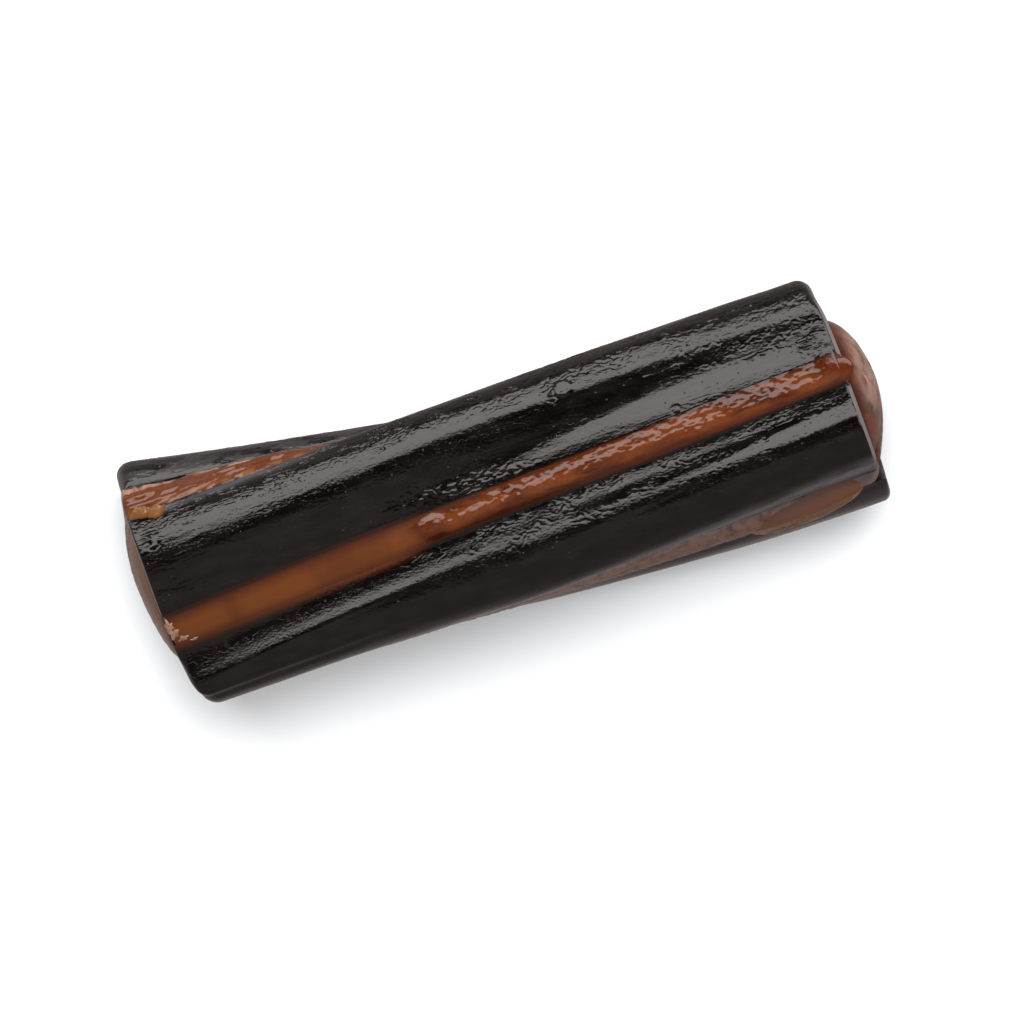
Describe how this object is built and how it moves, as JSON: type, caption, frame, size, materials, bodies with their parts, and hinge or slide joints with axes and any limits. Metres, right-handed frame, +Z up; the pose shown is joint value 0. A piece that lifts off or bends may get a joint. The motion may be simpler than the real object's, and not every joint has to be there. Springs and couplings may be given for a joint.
{
  "type": "licorice twist",
  "caption": "Short candy stick of glossy black licorice strips wound round a caramel core, with amber grooves between the strips and a soft bulge at each cut end.",
  "frame": {"origin": "middle of the stick's footprint, on the surface it rests on", "axes": "+X along the stick towards the end with the taller bulge, +Z up, the side shown in the picture facing up"},
  "size_m": [0.0522, 0.0174, 0.0149],
  "materials": {
    "licorice": "glossy black, faintly wrinkled along the strips",
    "caramel": "sticky amber brown, satin at the cut ends"
  },
  "bodies": {
    "root": {"caramel_core": "caramel", "licorice_back": "licorice", "licorice_upper": "licorice", "licorice_front": "licorice", "licorice_under": "licorice"}
  },
  "joints": []
}
